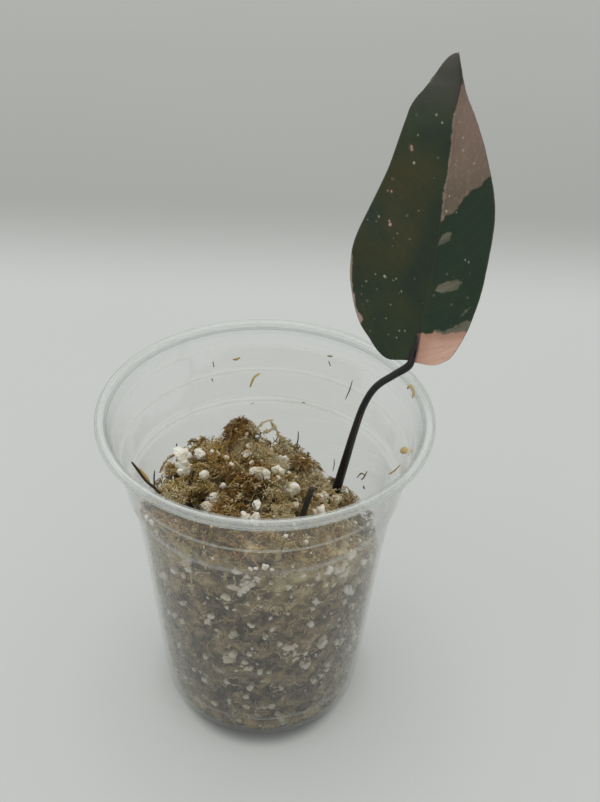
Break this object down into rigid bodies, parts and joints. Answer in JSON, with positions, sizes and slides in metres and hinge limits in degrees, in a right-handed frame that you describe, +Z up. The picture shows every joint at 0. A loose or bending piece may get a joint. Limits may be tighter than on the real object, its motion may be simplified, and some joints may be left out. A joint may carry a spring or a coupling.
{
  "type": "potted pink princess philodendron",
  "caption": "Rooted leaf cutting of a variegated philodendron standing in a clear plastic cup filled with sphagnum moss and perlite.",
  "frame": {"origin": "centre of the cup's flat foot, on the cup's axis, in the surface that the cup stands on", "axes": "+Z up along the cup's axis, +X towards the side that the leaf leans over, -Y towards the viewer"},
  "size_m": [0.1087, 0.0978, 0.2003],
  "materials": {
    "clear_plastic": "gloss",
    "moss_and_perlite": "matte",
    "vine": "matte",
    "petiole": "satin",
    "leaf": "satin"
  },
  "bodies": {
    "root": {"cup": "clear_plastic", "growing_mix": "moss_and_perlite", "stem_cutting": "vine", "petiole": "petiole", "leaf_blade": "leaf"}
  },
  "joints": []
}
